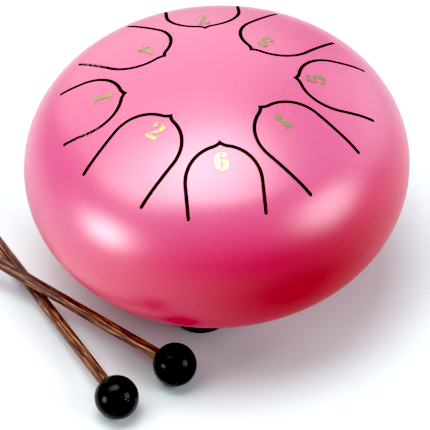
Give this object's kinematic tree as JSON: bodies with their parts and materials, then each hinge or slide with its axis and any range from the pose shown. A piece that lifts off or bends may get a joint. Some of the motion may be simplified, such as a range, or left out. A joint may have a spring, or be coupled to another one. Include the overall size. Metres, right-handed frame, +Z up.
{
  "type": "steel tongue drum",
  "caption": "Small round steel tongue drum with a slit dome, numbered tongues, a bowl with a sound hole, rubber feet and rubber-ball mallets.",
  "frame": {"origin": "on the drum's axis, at the level of the table that the feet and the mallets rest on", "axes": "+Z up along the drum's axis, -Y towards the player, along the tongue of note 6, +X to the player's right"},
  "size_m": [0.2245, 0.1708, 0.0955],
  "materials": {
    "pink_paint": "satin paint over sheet steel",
    "gold_foil": "satin gold foil",
    "foot_rubber": "matte black rubber",
    "zinc_steel": "bright zinc plate",
    "stained_wood": "glossy red-brown stain",
    "ball_rubber": "glossy black rubber"
  },
  "bodies": {
    "drum": {"top_shell": "pink_paint", "bottom_shell": "pink_paint", "seam_weld": "pink_paint", "number_6": "gold_foil", "number_2": "gold_foil", "number_1_high": "gold_foil", "number_4": "gold_foil", "number_7": "gold_foil", "number_3": "gold_foil", "number_5": "gold_foil", "number_1_low": "gold_foil", "front_foot": "foot_rubber", "right_foot": "foot_rubber", "back_foot": "foot_rubber", "front_foot_stud": "zinc_steel", "right_foot_stud": "zinc_steel", "back_foot_stud": "zinc_steel", "front_foot_washer": "zinc_steel", "right_foot_washer": "zinc_steel", "back_foot_washer": "zinc_steel", "front_foot_nut": "zinc_steel", "right_foot_nut": "zinc_steel", "back_foot_nut": "zinc_steel"},
    "left_mallet": {"left_mallet_stick": "stained_wood", "left_mallet_ball": "ball_rubber"},
    "right_mallet": {"right_mallet_stick": "stained_wood", "right_mallet_ball": "ball_rubber"}
  },
  "joints": [
    {"name": "left_mallet_lift", "type": "slide", "parent": "drum", "child": "left_mallet", "axis": [-0.5647, -0.4255, 0.7071], "range_m": [0, 0.12]},
    {"name": "right_mallet_lift", "type": "slide", "parent": "left_mallet", "child": "right_mallet", "axis": [-0.5647, -0.4255, 0.7071], "range_m": [0, 0.12]}
  ]
}
